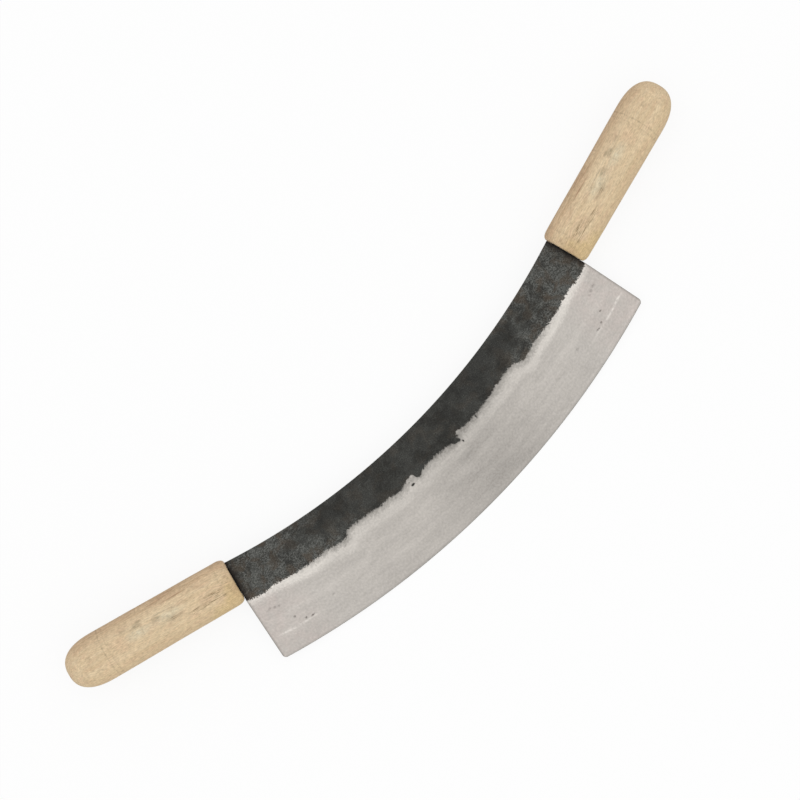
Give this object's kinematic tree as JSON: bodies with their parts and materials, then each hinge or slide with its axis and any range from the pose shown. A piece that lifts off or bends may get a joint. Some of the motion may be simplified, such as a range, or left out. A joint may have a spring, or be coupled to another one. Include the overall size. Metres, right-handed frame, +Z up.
{
  "type": "kebab cleaver",
  "caption": "Long bowed chopping blade, black from the forge along the spine and ground bright to the edge, with a rounded wooden handle on a bedded tang at each end, rocked with both hands.",
  "frame": {"origin": "middle of the knife's box, on the surface it lies on", "axes": "+X along the knife towards the right-hand handle, +Y from the edge towards the spine, +Z up; the knife lies on its side, leaning on both handles and on the middle of its edge, so the blade's flat is turned 9.4 degrees from level about X"},
  "size_m": [0.523, 0.1208, 0.0313],
  "materials": {
    "forged_steel": "ground bright below a ragged line, black forge scale above it",
    "handle_wood": "sanded, unvarnished",
    "tang_resin": "set resin"
  },
  "bodies": {
    "root": {"blade": "forged_steel", "left_handle": "handle_wood", "right_handle": "handle_wood", "left_tang_bedding": "tang_resin", "right_tang_bedding": "tang_resin"}
  },
  "joints": []
}
